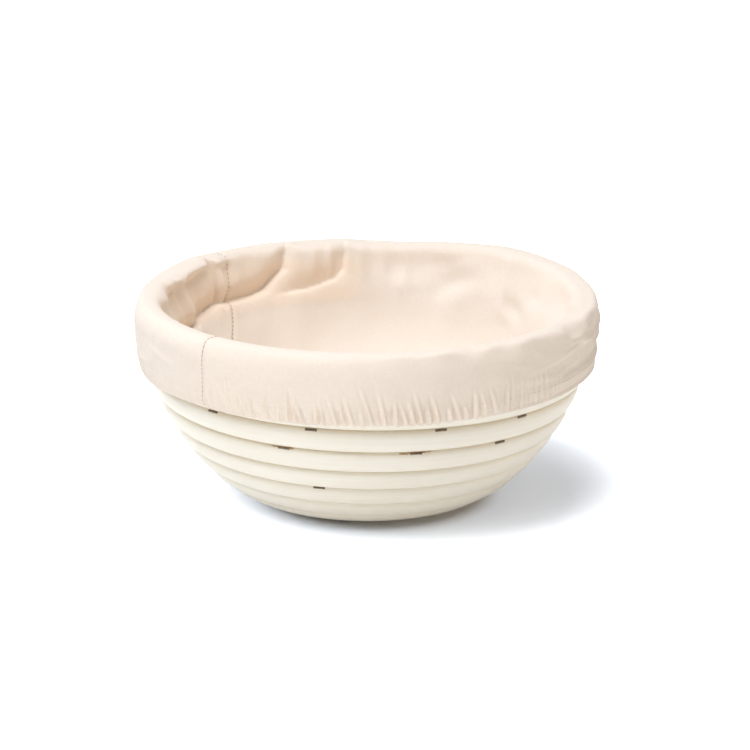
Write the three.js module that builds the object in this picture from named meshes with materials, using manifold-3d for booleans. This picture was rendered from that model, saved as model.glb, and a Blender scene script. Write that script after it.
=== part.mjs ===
// Round cane proofing basket with a fitted cloth liner. Millimetres, +Z up, base on z = 0, front at -Y.
import * as THREE from "three";
import { mergeVertices } from "three/addons/utils/BufferGeometryUtils.js";
import Module from "manifold-3d";

const wasm = await Module();
wasm.setup();

// Basket shape. Radii of curves are taken at the middle of the cane.
const rimRadius = 97.5; // outside of the top turn
const rimHeight = 86.3; // top edge of the cane above the table
const baseFlatRadius = 35.5; // flat middle of the base
const bendRadius = 40; // base turning up into the wall
const wallArcRadius = 96.2; // long curve of the wall, upright at the rim

// Cane: a flat oval, drawn with eight sides
const caneWidth = 10.25;
const caneThickness = 8;
const caneFaceWidth = 4.8; // flat part of a broad face
const caneEdgeHeight = 2; // flat part of a narrow edge
const turnGap = 0.72; // between one turn and the next
const eyeRadius = 1.6; // hole left at the centre of the base
const tipWidth = 2.5; // width left where the cane is shaved off at each end
const tipThickness = 4;
const windingStart = 22; // degrees, the angle that the winding is counted from
const stepsPerTurn = 30;
const lowerJoin = 4.6; // turns from the centre to the end of the base length
const upperJoin = 9.8; // turns from the centre to the end of the lower wall length
const scarfLength = 24; // slant cut where one length meets the next
const scarfSteps = 4;
const joinGap = 1; // along the cane, between the two slant cuts

// Wire staples that hold each turn to the one below
const crownWidth = 4.8;
const wireWidth = 0.8; // through the wall
const wireHeight = 0.6;
const biteLength = 3; // of a leg, inside the lower turn
const staplePoint = 1; // chisel slant at the end of a leg
const stapleOffset = 2.4; // crown's place, outwards from the middle of the cane
const stapleTilt = 12; // degrees, the legs lean towards the hollow
const holeClearance = 0.3;
// Turn number from the centre, then degrees round from the front, to the right as positive.
const stapleRows = [
  [12, [-140, -20, 100]],
  [11, [-172, -100, -29, 62]],
  [10, [-165, -122, -82, -43.4, -14.3, 19.1, 44.3, 88, 140]],
  [9, [-150, -98, -22.7, 13.2, 38.9, 101, 162]],
  [8, [-132, 94, 168]],
  [7, [-160, -91, -15, 84, 141]],
  [6, [-121, 112]],
  [5, [-62, 61]],
  [4, [-101, 139]],
  [3, [20]],
];

// Cloth liner
const clothThickness = 1;
const cupClearance = 0.8; // cup to the inside of the cane
const slackDepth = 5; // the cup hangs loose over the bend, this far in from the cane
const skirtClearance = 0.5; // skirt to the outside of the cane
const rollDrop = 2.5; // below the rim's top edge, where the cloth starts to roll over it
const crestGap = 0.4; // where cup and skirt meet on top of the rim
const seamOffset = 61.3; // the seam joining the two panels, to the left of the middle inside the cup
const seamTurn = 1.6; // degrees, the seam turned about the upright axis
const seamGap = 0.4;
const hemHeight = 58.7; // lower edge of the skirt above the table
const casingHeight = 8;
const casingClearance = 0.3;
const elasticWidth = 5;
const elasticThickness = 0.6;
const clothSegments = 48;
// Folds hanging inside the cup. Degrees from the front, millimetres; lean is degrees per millimetre of height.
const cupFolds = [
  { angle: -82, halfWidth: 26, depth: 5, height: 60, halfHeight: 20, lean: -0.3 },
  { angle: -124, halfWidth: 30, depth: 6.5, height: 55, halfHeight: 24, lean: -0.7 },
  { angle: -164, halfWidth: 18, depth: 4.5, height: 66, halfHeight: 18, lean: -0.4 },
  { angle: 146, halfWidth: 18, depth: 3, height: 68, halfHeight: 18, lean: 0.3 },
  { angle: 112, halfWidth: 18, depth: 2.5, height: 64, halfHeight: 20, lean: 0.2 },
];

const degrees = Math.PI / 180;
const halfThickness = caneThickness / 2;
const pitch = caneWidth + turnGap;

function toSolid(geometry) {
  const plain = geometry.index ? geometry.toNonIndexed() : geometry.clone();
  const bare = new THREE.BufferGeometry().setAttribute("position", plain.getAttribute("position"));
  const merged = mergeVertices(bare, 1e-4);
  return new wasm.Manifold(
    new wasm.Mesh({
      numProp: 3,
      vertProperties: merged.attributes.position.array,
      triVerts: new Uint32Array(merged.index.array),
    }),
  );
}

function toGeometry(solid) {
  const mesh = solid.getMesh();
  const geometry = new THREE.BufferGeometry()
    .setAttribute("position", new THREE.BufferAttribute(mesh.vertProperties, 3))
    .setIndex(new THREE.BufferAttribute(mesh.triVerts, 1));
  geometry.computeVertexNormals();
  return geometry;
}

// Middle line of the wall: flat base, bend, long arc, then upright.
const rimCentre = rimRadius - halfThickness;
const bendAngle = Math.asin((baseFlatRadius + wallArcRadius - rimCentre) / (wallArcRadius - bendRadius));
const bendEnd = baseFlatRadius + bendRadius * bendAngle;
const arcEnd = bendEnd + wallArcRadius * (Math.PI / 2 - bendAngle);

// Place on the middle line, by length from the centre of the base.
function wallSpot(length) {
  if (length <= baseFlatRadius) return { r: length, z: halfThickness, slope: 0 };
  const inBend = Math.min((length - baseFlatRadius) / bendRadius, bendAngle);
  let r = baseFlatRadius + bendRadius * Math.sin(inBend);
  let z = halfThickness + bendRadius * (1 - Math.cos(inBend));
  if (length <= bendEnd) return { r, z, slope: inBend };
  const slope = Math.min(bendAngle + (length - bendEnd) / wallArcRadius, Math.PI / 2);
  r += wallArcRadius * (Math.sin(slope) - Math.sin(bendAngle));
  z += wallArcRadius * (Math.cos(bendAngle) - Math.cos(slope)) + Math.max(0, length - arcEnd);
  return { r, z, slope };
}

// Point off the middle line: across runs up the wall, out runs away from the hollow.
function besideWall(spot, across, out) {
  return new THREE.Vector2(
    spot.r + across * Math.cos(spot.slope) + out * Math.sin(spot.slope),
    spot.z + across * Math.sin(spot.slope) - out * Math.cos(spot.slope),
  );
}

// Length along the middle line at which a value that grows along it reaches the goal.
function lengthWhere(valueAt, goal) {
  let low = 0;
  let high = arcEnd + rimHeight;
  for (let i = 0; i < 60; i++) {
    const middle = (low + high) / 2;
    if (valueAt(middle) < goal) low = middle;
    else high = middle;
  }
  return (low + high) / 2;
}

const rimLength = lengthWhere((length) => wallSpot(length).z, rimHeight);

function outerRadiusAt(height) {
  const length = lengthWhere((along) => besideWall(wallSpot(along), 0, halfThickness).y, height);
  return besideWall(wallSpot(length), 0, halfThickness).x;
}

// Winding, by turns from the centre. The edges close in at both ends, so the eye is round and the rim is level.
function caneEdges(turns) {
  const edge = eyeRadius + pitch * (turns - 1);
  return { inner: Math.max(edge, eyeRadius), outer: Math.min(edge + caneWidth, rimLength) };
}

const firstTurn = (turnGap + tipWidth) / pitch;
const lastTurn = (rimLength - tipWidth - eyeRadius) / pitch + 1;
const windingAngle = (turns) => windingStart * degrees - turns * 2 * Math.PI;
const frontTurn = (windingStart + 90) / 360; // the winding passes the front at this many turns, and each turn after

const sideShare = caneEdgeHeight / caneThickness;
const faceShare = caneFaceWidth / caneWidth;
const caneOutline = [
  [1, -sideShare],
  [1, sideShare],
  [faceShare, 1],
  [-faceShare, 1],
  [-1, sideShare],
  [-1, -sideShare],
  [-faceShare, -1],
  [faceShare, -1],
];

function caneCorner(turns, acrossShare, outShare) {
  const { inner, outer } = caneEdges(turns);
  const width = outer - inner;
  const thickness = THREE.MathUtils.mapLinear(width, tipWidth, caneWidth, tipThickness, caneThickness);
  return besideWall(wallSpot((inner + outer) / 2), (acrossShare * width) / 2, (outShare * thickness) / 2);
}

function caneRing(turnsAt) {
  return caneOutline.map(([acrossShare, outShare]) => {
    const at = turnsAt(outShare);
    const corner = caneCorner(at, acrossShare, outShare);
    const angle = windingAngle(at);
    return new THREE.Vector3(corner.x * Math.cos(angle), corner.x * Math.sin(angle), corner.y);
  });
}

const turnsFor = (arc, turns) => {
  const { inner, outer } = caneEdges(turns);
  return arc / (2 * Math.PI * wallSpot((inner + outer) / 2).r);
};

// Rings from a square section to a slant cut, in steps so that the long faces follow the curve.
const cutMargin = 0.25 / stepsPerTurn;
function cutRings(end, slant, towardsMiddle) {
  const square = end + towardsMiddle * (slant + cutMargin);
  const steps = slant > 0 ? scarfSteps : 1;
  const rings = [];
  for (let step = 1; step <= steps; step++)
    rings.push(caneRing((outShare) => square + (step / steps) * (end + slant * outShare - square)));
  return rings;
}

// One length of cane. A slant is half the scarf, in turns, and nought leaves a square end.
function caneLength(from, to, startSlant, endSlant) {
  const firstSquare = from + startSlant + cutMargin;
  const lastSquare = to - endSlant - cutMargin;
  const squares = [firstSquare];
  for (let step = Math.floor(firstSquare * stepsPerTurn + 1.25); step / stepsPerTurn < lastSquare; step++)
    squares.push(step / stepsPerTurn);
  const rings = [
    ...cutRings(from, startSlant, 1).reverse(),
    ...squares.map((turns) => caneRing(() => turns)),
    ...cutRings(to, endSlant, -1),
  ];
  const sides = caneOutline.length;
  const faces = [];
  for (let i = 0; i + 1 < rings.length; i++)
    for (let j = 0; j < sides; j++) {
      const a = i * sides + j;
      const b = i * sides + ((j + 1) % sides);
      faces.push(a, b + sides, b, a, a + sides, b + sides);
    }
  const last = (rings.length - 1) * sides;
  for (let j = 1; j + 1 < sides; j++) faces.push(0, j, j + 1, last, last + j + 1, last + j);
  return new THREE.BufferGeometry()
    .setAttribute("position", new THREE.Float32BufferAttribute(rings.flat().flatMap((p) => [p.x, p.y, p.z]), 3))
    .setIndex(faces);
}

// Least gap of the winding to itself: each turn's outline against the next one's, in the same upright plane.
function pointToSegment(p, a, b) {
  const along = b.clone().sub(a);
  const share = THREE.MathUtils.clamp(p.clone().sub(a).dot(along) / along.lengthSq(), 0, 1);
  return p.distanceTo(a.clone().addScaledVector(along, share));
}
function leastGap() {
  let least = Infinity;
  for (let turns = firstTurn; turns + 1 <= lastTurn; turns += 1 / stepsPerTurn) {
    const [lower, upper] = [turns, turns + 1].map((at) =>
      caneOutline.map(([acrossShare, outShare]) => caneCorner(at, acrossShare, outShare)),
    );
    for (const [points, other] of [[lower, upper], [upper, lower]])
      for (const point of points)
        other.forEach((a, i) => {
          least = Math.min(least, pointToSegment(point, a, other[(i + 1) % other.length]));
        });
  }
  return least;
}
console.log(`least gap between turns ${leastGap().toFixed(2)} mm`);

// Staples. The shape lies with its crown along x and its legs down y. The crown lies in the groove between two turns,
// and the legs go through the lower of them into the next.
const crownTop = caneWidth / 2 + (turnGap + wireHeight) / 2;
const legLength = crownTop + caneWidth / 2 + turnGap + biteLength;
function stapleShape(grow) {
  const half = crownWidth / 2 + grow;
  const inside = crownWidth / 2 - wireHeight - grow;
  const under = -wireHeight - grow;
  const point = -legLength - grow;
  const shape = new THREE.Shape();
  shape.moveTo(-half, grow);
  shape.lineTo(-half, point);
  shape.lineTo(-inside, point + staplePoint);
  shape.lineTo(-inside, under);
  shape.lineTo(inside, under);
  shape.lineTo(inside, point + staplePoint);
  shape.lineTo(half, point);
  shape.lineTo(half, grow);
  shape.closePath();
  const depth = wireWidth + 2 * grow;
  return new THREE.ExtrudeGeometry(shape, { depth, bevelEnabled: false }).translate(0, 0, -depth / 2);
}

function staplePlace(turns) {
  const { inner, outer } = caneEdges(turns);
  const spot = wallSpot((inner + outer) / 2);
  const angle = windingAngle(turns);
  const corner = besideWall(spot, crownTop, stapleOffset);
  const radial = new THREE.Vector3(Math.cos(angle), Math.sin(angle), 0);
  const round = new THREE.Vector3(-Math.sin(angle), Math.cos(angle), 0);
  const lean = spot.slope - stapleTilt * degrees;
  const up = radial.clone().multiplyScalar(Math.cos(lean)).setZ(Math.sin(lean));
  const out = radial.clone().multiplyScalar(Math.sin(lean)).setZ(-Math.cos(lean));
  return new THREE.Matrix4().makeBasis(round, up, out).setPosition(corner.x * radial.x, corner.x * radial.y, corner.y);
}

const fullFrom = 2; // turns, where this turn and the one inside it both have their whole width
const fullTo = (rimLength - caneWidth - eyeRadius) / pitch + 1;
const staplePlaces = stapleRows
  .flatMap(([turn, angles]) => angles.map((angle) => frontTurn + turn - angle / 360))
  .filter((turns) => turns > fullFrom && turns < fullTo)
  .sort((a, b) => a - b)
  .map(staplePlace);

// Cloth: the outline of a strip that follows a path, turned about the upright axis.
function stripOutline(path, thickness) {
  const normals = path.map((point, i) => {
    const before = path[Math.max(i - 1, 0)];
    const after = path[Math.min(i + 1, path.length - 1)];
    const into = point.clone().sub(before).normalize();
    const onward = after.clone().sub(point).normalize();
    const bisector = into.add(onward).normalize();
    const spread = i > 0 && i < path.length - 1 ? bisector.dot(onward) : 1;
    return new THREE.Vector2(-bisector.y, bisector.x).divideScalar(spread);
  });
  const side = (offset) => path.map((point, i) => point.clone().addScaledVector(normals[i], offset));
  return [...side(-thickness / 2), ...side(thickness / 2).reverse()];
}

const turned = (outline) => new THREE.LatheGeometry(outline, clothSegments).rotateX(Math.PI / 2);

// The cloth rolls over the rim on half an ellipse.
const cupOffset = halfThickness + cupClearance + clothThickness / 2;
const skirtOffset = halfThickness + skirtClearance + clothThickness / 2;
const rollCentre = rimCentre + (skirtOffset - cupOffset) / 2;
const rollHalfWidth = (skirtOffset + cupOffset) / 2;
const rollBase = rimHeight - rollDrop;
const rollHeight = rollDrop + skirtClearance + clothThickness / 2;
const crestShare = Math.asin(crestGap / 2 / rollHalfWidth) / degrees;
const rollPoint = (angle) =>
  new THREE.Vector2(
    rollCentre + rollHalfWidth * Math.cos(angle * degrees),
    rollBase + rollHeight * Math.sin(angle * degrees),
  );

const bell = (share) => (Math.abs(share) < 1 ? (1 + Math.cos(Math.PI * share)) / 2 : 0);
const slackHalf = bendEnd - baseFlatRadius / 2; // along the wall, either side of the bend's end
const cupRows = { flat: 2, bend: 3, wall: 7 };
const wallTop = lengthWhere((length) => wallSpot(length).z, rollBase);
const spread = (from, to, count) => Array.from({ length: count }, (_, i) => from + ((to - from) * (i + 1)) / count);
const cupPath = [
  0,
  ...spread(0, baseFlatRadius, cupRows.flat),
  ...spread(baseFlatRadius, bendEnd, cupRows.bend),
  ...spread(bendEnd, wallTop, cupRows.wall).slice(0, -1),
].map((length) => besideWall(wallSpot(length), 0, -cupOffset - slackDepth * bell((length - bendEnd) / slackHalf)));
cupPath.push(...[180, 150, 120, 90 + crestShare].map(rollPoint));

function foldDepth(angle, height) {
  return cupFolds.reduce((depth, fold) => {
    const middle = fold.angle + fold.lean * (height - fold.height);
    const turn = THREE.MathUtils.euclideanModulo(angle - middle + 180, 360) - 180;
    return Math.max(depth, fold.depth * bell(turn / fold.halfWidth) * bell((height - fold.height) / fold.halfHeight));
  }, 0);
}

function foldedCup() {
  const cup = turned(stripOutline(cupPath, clothThickness));
  const points = cup.getAttribute("position");
  for (let i = 0; i < points.count; i++) {
    const [x, y, z] = [points.getX(i), points.getY(i), points.getZ(i)];
    const radius = Math.hypot(x, y);
    if (z > rollBase || radius < baseFlatRadius) continue;
    const shrink = 1 - foldDepth(Math.atan2(x, -y) / degrees, z) / radius;
    points.setXY(i, x * shrink, y * shrink);
  }
  return cup;
}

const casingDepth = clothThickness + elasticThickness + 2 * casingClearance;
const casingBottom = hemHeight + casingDepth / 2 + clothThickness / 2;
const casingTop = hemHeight + casingHeight;
const innerLayer = (height) => outerRadiusAt(height) + skirtClearance + clothThickness / 2;
const casingMiddle = (height) => innerLayer(height) + casingDepth / 2;
const hemTurn = [-45, -90, -135].map(
  (angle) =>
    new THREE.Vector2(
      casingMiddle(casingBottom) + (casingDepth / 2) * Math.cos(angle * degrees),
      casingBottom + (casingDepth / 2) * Math.sin(angle * degrees),
    ),
);
const skirtPath = [
  ...[90 - crestShare, 60, 30, 0].map(rollPoint),
  new THREE.Vector2(innerLayer(casingTop) + casingDepth, casingTop),
  new THREE.Vector2(innerLayer(casingBottom) + casingDepth, casingBottom),
  ...hemTurn,
  new THREE.Vector2(innerLayer(casingBottom), casingBottom),
  new THREE.Vector2(innerLayer(casingTop), casingTop),
];
const ringStrip = (path, thickness) => {
  const outline = stripOutline(path, thickness);
  return turned([...outline, outline[0]]);
};

const elasticPath = [casingBottom, casingBottom + elasticWidth].map(
  (height) => new THREE.Vector2(casingMiddle(height), height),
);

// The panels on either side of the seam, which runs straight inside the cup and square over the rim and the skirt.
const reach = 4 * rimRadius;
const seamAngle = Math.asin(seamOffset / (rollCentre - rollHalfWidth));
const sector = new THREE.Shape();
sector.moveTo(0, 0);
sector.lineTo(-reach, reach / Math.tan(seamAngle));
sector.lineTo(-reach, -reach / Math.tan(seamAngle));
sector.closePath();
function leftSector(shift, bottom) {
  const wedge = new THREE.ExtrudeGeometry(sector, { depth: reach, bevelEnabled: false });
  return toSolid(wedge.translate(shift / Math.cos(seamAngle), 0, bottom).rotateZ(seamTurn * degrees));
}
function leftOfCup(shift) {
  const lower = new THREE.BoxGeometry(reach, reach, reach);
  lower.translate(-seamOffset + shift - reach / 2, 0, rollBase - reach / 2).rotateZ(seamTurn * degrees);
  return toSolid(lower).add(leftSector(shift, rollBase));
}
const leftOfSkirt = (shift) => leftSector(shift, -reach / 2);
const mainPanel = (solid, leftOf) => solid.subtract(leftOf(seamGap / 2));
const sidePanel = (solid, leftOf) => solid.intersect(leftOf(-seamGap / 2));

const caneFinish = new THREE.MeshStandardMaterial({ color: 0xe9dcbc, roughness: 0.6 });
const wireFinish = new THREE.MeshStandardMaterial({ color: 0x6b5440, roughness: 0.5, metalness: 0.6 });
const clothFinish = new THREE.MeshStandardMaterial({ color: 0xeadcc8, roughness: 0.95 });
const elasticFinish = new THREE.MeshStandardMaterial({ color: 0xf4f1ea, roughness: 0.9 });

const basket = new THREE.Group();
const liner = new THREE.Group();
const part = new THREE.Group().add(basket, liner);

function addPiece(group, name, geometry, material) {
  const mesh = new THREE.Mesh(geometry, material);
  mesh.name = name;
  group.add(mesh);
  return mesh;
}

const holeShape = stapleShape(holeClearance);
const holes = staplePlaces.map((place) => toSolid(holeShape.clone().applyMatrix4(place)));
const lowerScarf = turnsFor(scarfLength / 2, lowerJoin);
const upperScarf = turnsFor(scarfLength / 2, upperJoin);
const lowerStart = lowerJoin + turnsFor(joinGap, lowerJoin);
const upperStart = upperJoin + turnsFor(joinGap, upperJoin);
for (const [name, geometry] of [
  ["base_cane", caneLength(firstTurn, lowerJoin, 0, lowerScarf)],
  ["lower_wall_cane", caneLength(lowerStart, upperJoin, lowerScarf, upperScarf)],
  ["upper_wall_cane", caneLength(upperStart, lastTurn, upperScarf, 0)],
]) {
  const drilled = holes.reduce((solid, hole) => solid.subtract(hole), toSolid(geometry));
  addPiece(basket, name, toGeometry(drilled), caneFinish);
}

const wireShape = stapleShape(0);
staplePlaces.forEach((place, i) => {
  const staple = addPiece(basket, `staple_${String(i + 1).padStart(2, "0")}`, wireShape, wireFinish);
  staple.applyMatrix4(place);
});

const cup = toSolid(foldedCup());
const wrap = toSolid(ringStrip(skirtPath, clothThickness));
addPiece(liner, "cup_main_panel", toGeometry(mainPanel(cup, leftOfCup)), clothFinish);
addPiece(liner, "cup_side_panel", toGeometry(sidePanel(cup, leftOfCup)), clothFinish);
addPiece(liner, "skirt_main_panel", toGeometry(mainPanel(wrap, leftOfSkirt)), clothFinish);
addPiece(liner, "skirt_side_panel", toGeometry(sidePanel(wrap, leftOfSkirt)), clothFinish);
addPiece(liner, "hem_elastic", ringStrip(elasticPath, elasticThickness), elasticFinish);

export default part;
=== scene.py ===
import bisect
import bmesh
import bpy
import math
import random
from mathutils import Matrix, Vector, noise


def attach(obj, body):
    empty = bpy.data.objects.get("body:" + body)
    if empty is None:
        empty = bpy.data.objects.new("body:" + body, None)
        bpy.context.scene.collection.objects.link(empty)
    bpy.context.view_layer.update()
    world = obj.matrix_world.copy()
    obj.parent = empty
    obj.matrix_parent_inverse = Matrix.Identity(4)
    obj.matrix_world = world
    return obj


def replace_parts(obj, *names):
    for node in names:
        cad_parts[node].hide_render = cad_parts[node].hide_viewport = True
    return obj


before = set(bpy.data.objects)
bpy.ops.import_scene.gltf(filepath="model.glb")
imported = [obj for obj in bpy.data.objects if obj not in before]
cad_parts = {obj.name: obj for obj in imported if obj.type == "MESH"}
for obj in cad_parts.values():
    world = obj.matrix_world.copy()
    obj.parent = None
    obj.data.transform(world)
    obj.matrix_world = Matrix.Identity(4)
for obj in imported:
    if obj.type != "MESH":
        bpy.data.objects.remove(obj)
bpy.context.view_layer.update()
print("frame loaded:", len(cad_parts), "nodes")

mm = 0.001
scene = bpy.context.scene
scene.view_settings.view_transform = "Standard"


def clamp01(x):
    return min(1.0, max(0.0, x))


def ease(low, high, x):
    t = clamp01((x - low) / (high - low))
    return t * t * (3 - 2 * t)


def bell(x):
    return 0.5 * (1 + math.cos(math.pi * x)) if abs(x) < 1 else 0.0


def turnFrom(angle, middle):
    return (angle - middle + 180) % 360 - 180


def readTable(rows, x):  # straight lines between the rows of a small table
    if x <= rows[0][0]:
        return rows[0][1]
    for (x0, y0), (x1, y1) in zip(rows, rows[1:]):
        if x <= x1:
            return y0 + (y1 - y0) * (x - x0) / (x1 - x0)
    return rows[-1][1]


def addPiece(name, bm, material, body):
    mesh = bpy.data.meshes.new(name)
    bm.to_mesh(mesh)
    bm.free()
    mesh.shade_smooth()
    piece = bpy.data.objects.new(name, mesh)
    scene.collection.objects.link(piece)
    piece.data.materials.append(material)
    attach(piece, body)
    return piece


def paramGrid(columns, rows):  # a flat grid, with each corner's place along it as two shares
    bm = bmesh.new()
    bmesh.ops.create_grid(bm, x_segments=columns, y_segments=rows, size=0.5)
    low = min(v.co.x for v in bm.verts)
    high = max(v.co.x for v in bm.verts)
    share = lambda x: clamp01((x - low) / (high - low))
    bm.verts.index_update()
    return bm, [(share(v.co.x), share(v.co.y)) for v in bm.verts]


# Shader helpers


def link(tree, source, target):
    tree.links.new(source, target)


def addNode(tree, kind, **settings):
    node = tree.nodes.new("ShaderNode" + kind)
    for key, value in settings.items():
        if key in node.inputs:
            node.inputs[key].default_value = value
        else:
            setattr(node, key, value)
    return node


def calc(tree, operation, *values):
    node = tree.nodes.new("ShaderNodeMath")
    node.operation = operation
    for socket, value in zip(node.inputs, values):
        if isinstance(value, (int, float)):
            socket.default_value = value
        else:
            link(tree, value, socket)
    return node.outputs[0]


def blendColour(tree, share, first, second):
    node = tree.nodes.new("ShaderNodeMix")
    node.data_type = "RGBA"
    for socket, value in zip((node.inputs[0], node.inputs[6], node.inputs[7]), (share, first, second)):
        if isinstance(value, (int, float)):
            socket.default_value = value
        elif isinstance(value, tuple):
            socket.default_value = (*value, 1)
        else:
            link(tree, value, socket)
    return node.outputs[2]


def newMaterial(name, **settings):
    material = bpy.data.materials.new(name)
    material.use_nodes = True
    tree = material.node_tree
    surface = tree.nodes["Principled BSDF"]
    for key, value in settings.items():
        surface.inputs[key].default_value = value
    return material, tree, surface


def newGroup(name, inputs, outputs):
    group = bpy.data.node_groups.new(name, "ShaderNodeTree")
    for title, kind in inputs:
        group.interface.new_socket(title, in_out="INPUT", socket_type="NodeSocket" + kind)
    for title, kind in outputs:
        group.interface.new_socket(title, in_out="OUTPUT", socket_type="NodeSocket" + kind)
    return group, group.nodes.new("NodeGroupInput"), group.nodes.new("NodeGroupOutput")


def useGroup(tree, group, **values):
    node = tree.nodes.new("ShaderNodeGroup")
    node.node_tree = group
    for key, value in values.items():
        if isinstance(value, (int, float)):
            node.inputs[key].default_value = value
        else:
            link(tree, value, node.inputs[key])
    return node


# Long streaks that follow the cane, broad ones and fine ones
grainGroup, grainIn, grainOut = newGroup(
    "caneGrain",
    [("Vector", "Vector"), ("Along", "Float"), ("Across", "Float")],
    [("Streak", "Float"), ("Fibre", "Float")],
)
stretch = grainGroup.nodes.new("ShaderNodeCombineXYZ")
link(grainGroup, grainIn.outputs["Along"], stretch.inputs[0])
link(grainGroup, grainIn.outputs["Across"], stretch.inputs[1])
stretched = grainGroup.nodes.new("ShaderNodeVectorMath")
stretched.operation = "MULTIPLY"
link(grainGroup, grainIn.outputs["Vector"], stretched.inputs[0])
link(grainGroup, stretch.outputs[0], stretched.inputs[1])
for title, scale, detail in (("Streak", 1.0, 3.0), ("Fibre", 4.0, 4.0)):
    streaks = addNode(grainGroup, "TexNoise", Scale=scale, Detail=detail, Roughness=0.6)
    link(grainGroup, stretched.outputs[0], streaks.inputs["Vector"])
    link(grainGroup, streaks.outputs["Fac"], grainOut.inputs[title])

# Plain weave: threads over and under, with thick and thin runs
weaveGroup, weaveIn, weaveOut = newGroup(
    "plainWeave", [("Vector", "Vector"), ("Threads", "Float")], [("Height", "Float"), ("Slub", "Float")]
)
scaled = weaveGroup.nodes.new("ShaderNodeVectorMath")
scaled.operation = "SCALE"
link(weaveGroup, weaveIn.outputs["Vector"], scaled.inputs[0])
link(weaveGroup, weaveIn.outputs["Threads"], scaled.inputs["Scale"])
parts = weaveGroup.nodes.new("ShaderNodeSeparateXYZ")
link(weaveGroup, scaled.outputs[0], parts.inputs[0])
warp = calc(weaveGroup, "SINE", calc(weaveGroup, "MULTIPLY", parts.outputs[0], math.pi))
weft = calc(weaveGroup, "SINE", calc(weaveGroup, "MULTIPLY", parts.outputs[1], math.pi))
crossings = calc(weaveGroup, "MULTIPLY", warp, weft)
link(weaveGroup, calc(weaveGroup, "MULTIPLY_ADD", crossings, 0.5, 0.5), weaveOut.inputs["Height"])
slubs = []
for sizes in ((0.11, 0.55, 1.0), (0.55, 0.11, 1.0)):
    runs = weaveGroup.nodes.new("ShaderNodeVectorMath")
    runs.operation = "MULTIPLY"
    runs.inputs[1].default_value = sizes
    link(weaveGroup, scaled.outputs[0], runs.inputs[0])
    run = addNode(weaveGroup, "TexNoise", Scale=1.0, Detail=3.0, Roughness=0.6)
    link(weaveGroup, runs.outputs[0], run.inputs["Vector"])
    slubs.append(run.outputs["Fac"])
link(weaveGroup, calc(weaveGroup, "MULTIPLY", calc(weaveGroup, "ADD", *slubs), 0.5), weaveOut.inputs["Slub"])

# Slow drift of tone over a piece
toneGroup, toneIn, toneOut = newGroup(
    "slowTone", [("Vector", "Vector"), ("Scale", "Float")], [("Tone", "Float")]
)
drift = addNode(toneGroup, "TexNoise", Detail=3.0, Roughness=0.55)
link(toneGroup, toneIn.outputs["Vector"], drift.inputs["Vector"])
link(toneGroup, toneIn.outputs["Scale"], drift.inputs["Scale"])
link(toneGroup, drift.outputs["Fac"], toneOut.inputs["Tone"])


def spread(tree, value, low, high):  # a noise value pulled apart round its middle
    node = addNode(tree, "MapRange", clamp=True)
    link(tree, value, node.inputs[0])
    node.inputs[1].default_value = low
    node.inputs[2].default_value = high
    return node.outputs[0]


# The groove colour is painted shade: it darkens the cane towards its edges, where the grooves between turns
# lie in shade
caneFinish = dict(
    pale=(0.885, 0.832, 0.722), honey=(0.852, 0.782, 0.645), groove=(0.79, 0.69, 0.52),
    fleck=(0.42, 0.29, 0.16), along=22.0, across=900.0, streaks=(0.36, 0.78), flecks=(0.69, 0.76),
    fleckShare=0.3, drift=(0.45, 0.8), driftScale=22.0, driftShare=0.45, grooveShadeFall=5.0,
    grooveShadeShare=0.75, roughLeast=0.36, roughSpan=0.25, gloss=0.35, bump=0.55, relief=0.00016,
)


def makeCaneMaterial():
    s = caneFinish
    material, tree, surface = newMaterial("peeledCane", Roughness=0.5)
    surface.inputs["Specular IOR Level"].default_value = s["gloss"]
    uv = addNode(tree, "UVMap", uv_map="grain")
    where = tree.nodes.new("ShaderNodeTexCoord")
    edge = addNode(tree, "Attribute", attribute_name="edge")
    grain = useGroup(tree, grainGroup, Vector=uv.outputs[0], Along=s["along"], Across=s["across"])
    tone = useGroup(tree, toneGroup, Vector=where.outputs["Object"], Scale=s["driftScale"])
    colour = blendColour(tree, spread(tree, grain.outputs["Streak"], *s["streaks"]), s["pale"], s["honey"])
    drifted = spread(tree, tone.outputs["Tone"], *s["drift"])
    colour = blendColour(tree, calc(tree, "MULTIPLY", drifted, s["driftShare"]), colour, s["honey"])
    flecks = spread(tree, grain.outputs["Fibre"], *s["flecks"])
    colour = blendColour(tree, calc(tree, "MULTIPLY", flecks, s["fleckShare"]), colour, s["fleck"])
    # painted shade: the cane is coloured darker towards its edges, where the grooves between turns lie in
    # shade, and less so on the lower turns
    shade = calc(tree, "POWER", edge.outputs["Fac"], s["grooveShadeFall"])
    colour = blendColour(tree, calc(tree, "MULTIPLY", shade, s["grooveShadeShare"]), colour, s["groove"])
    link(tree, colour, surface.inputs["Base Color"])
    rough = calc(tree, "MULTIPLY_ADD", grain.outputs["Fibre"], s["roughSpan"], s["roughLeast"])
    link(tree, rough, surface.inputs["Roughness"])
    bump = addNode(tree, "Bump", Strength=s["bump"], Distance=s["relief"])
    link(tree, grain.outputs["Fibre"], bump.inputs["Height"])
    link(tree, bump.outputs[0], surface.inputs["Normal"])
    return material


# The inner colour is painted light that makes the cup's wall paler than the skirt, and the fold colour is
# painted shade among the folds near the top of the cup
clothFinish = dict(
    pale=(0.868, 0.754, 0.636), dark=(0.832, 0.710, 0.588), inner=(1.0, 0.94, 0.86), cupLightShare=0.2,
    foldShade=(0.93, 0.69, 0.48), foldShadeShare=0.3, threads=2500.0, threadHeight=0.35, slubs=(0.36, 0.64),
    slubHeight=2.2, drift=(0.4, 0.8), driftScale=30.0, driftShare=0.35, gloss=0.15, sheen=0.12,
    bump=0.5, relief=0.00014,
)


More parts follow.
